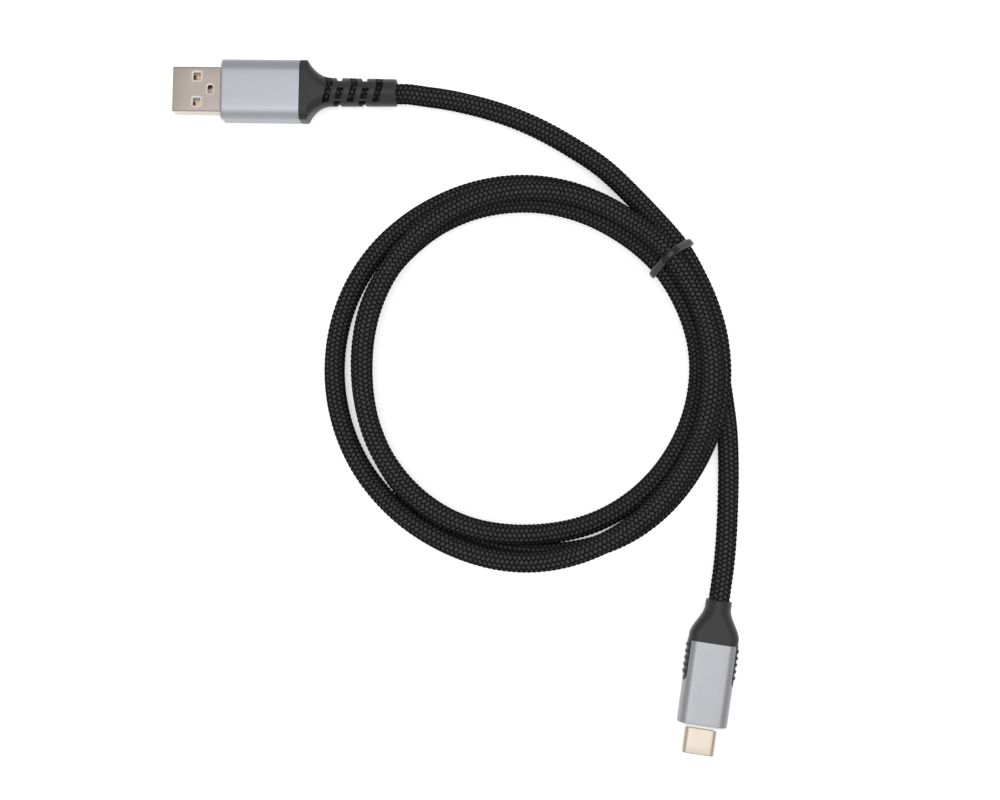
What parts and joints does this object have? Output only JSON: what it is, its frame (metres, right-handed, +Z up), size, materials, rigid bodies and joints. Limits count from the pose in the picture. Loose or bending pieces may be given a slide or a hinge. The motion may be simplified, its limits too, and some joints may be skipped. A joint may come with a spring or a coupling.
{
  "type": "charging cable",
  "caption": "Braided charging cable with a USB-A plug and a USB-C plug in aluminium housings, wound in a flat coil and held by a rubber ring.",
  "frame": {"origin": "on the table under the middle of the two plugs' common box", "axes": "+Z up from the table; the USB-A plug points to -X at the +Y end, the USB-C plug points to -Y"},
  "size_m": [0.1472, 0.1807, 0.0144],
  "materials": {
    "cord_braid": "braided nylon yarn in near-black, dull sheen",
    "band_rubber": "smooth black rubber, slight gloss",
    "a_shell_steel": "plated steel, satin, slightly warm",
    "c_shell_steel": "plated steel in pale champagne, satin",
    "aluminium": "bead-blasted and anodised, mid grey",
    "overmold_rubber": "matte moulded elastomer, dark grey",
    "white_plastic": "moulded insulator, off-white",
    "black_plastic": "moulded insulator, black",
    "gold": "gold-plated contact",
    "inner_mold_plastic": "milky moulding compound",
    "ferrule": "crimped ferrule, tin-plated",
    "jacket": "extruded inner jacket, dark grey",
    "wire_red": "red insulation",
    "wire_white": "white insulation",
    "wire_green": "green insulation",
    "wire_black": "black insulation",
    "board": "glass-fibre board, green mask",
    "spring_steel": "stamped spring steel"
  },
  "bodies": {
    "coil": {"cord_coil": "cord_braid", "cord_lead_a": "cord_braid", "cord_lead_c": "cord_braid"},
    "band": {"tie_band": "band_rubber"},
    "plug_a": {"usb_a_shell": "a_shell_steel", "usb_a_insulator": "white_plastic", "usb_a_contact_vbus": "gold", "usb_a_contact_dminus": "gold", "usb_a_contact_dplus": "gold", "usb_a_contact_gnd": "gold", "usb_a_inner_mold": "inner_mold_plastic", "usb_a_crimp": "ferrule", "usb_a_cable_end": "jacket", "usb_a_wire_red": "wire_red", "usb_a_wire_white": "wire_white", "usb_a_wire_green": "wire_green", "usb_a_wire_black": "wire_black", "usb_a_housing": "aluminium", "usb_a_overmold": "overmold_rubber"},
    "plug_c": {"usb_c_shell": "c_shell_steel", "usb_c_insulator": "black_plastic", "usb_c_contacts_upper": "gold", "usb_c_contacts_lower": "gold", "usb_c_latch": "spring_steel", "usb_c_ground_springs": "spring_steel", "usb_c_board": "board", "usb_c_resistor": "black_plastic", "usb_c_shield_can": "spring_steel", "usb_c_inner_mold": "inner_mold_plastic", "usb_c_crimp": "ferrule", "usb_c_cable_end": "jacket", "usb_c_wire_red": "wire_red", "usb_c_wire_white": "wire_white", "usb_c_wire_green": "wire_green", "usb_c_wire_black": "wire_black", "usb_c_housing": "aluminium", "usb_c_overmold": "overmold_rubber"}
  },
  "joints": [
    {"name": "plug_a_flex", "type": "hinge", "parent": "coil", "child": "plug_a", "pos_m": [-0.0202, 0.0819, 0.0041], "axis": [0, 0, 1], "range_deg": [-25, 25], "stiffness_Nm_per_rad": 0.03, "deforming": ["cord_lead_a"]},
    {"name": "plug_c_flex", "type": "hinge", "parent": "coil", "child": "plug_c", "pos_m": [0.0688, -0.0518, 0.0033], "axis": [0, 0, 1], "range_deg": [-25, 25], "stiffness_Nm_per_rad": 0.03, "deforming": ["cord_lead_c"]},
    {"name": "band_slide", "type": "hinge", "parent": "coil", "child": "band", "pos_m": [0.02, 0.009, 0.0072], "axis": [0, 0, 1], "range_deg": [-27, 13]}
  ]
}
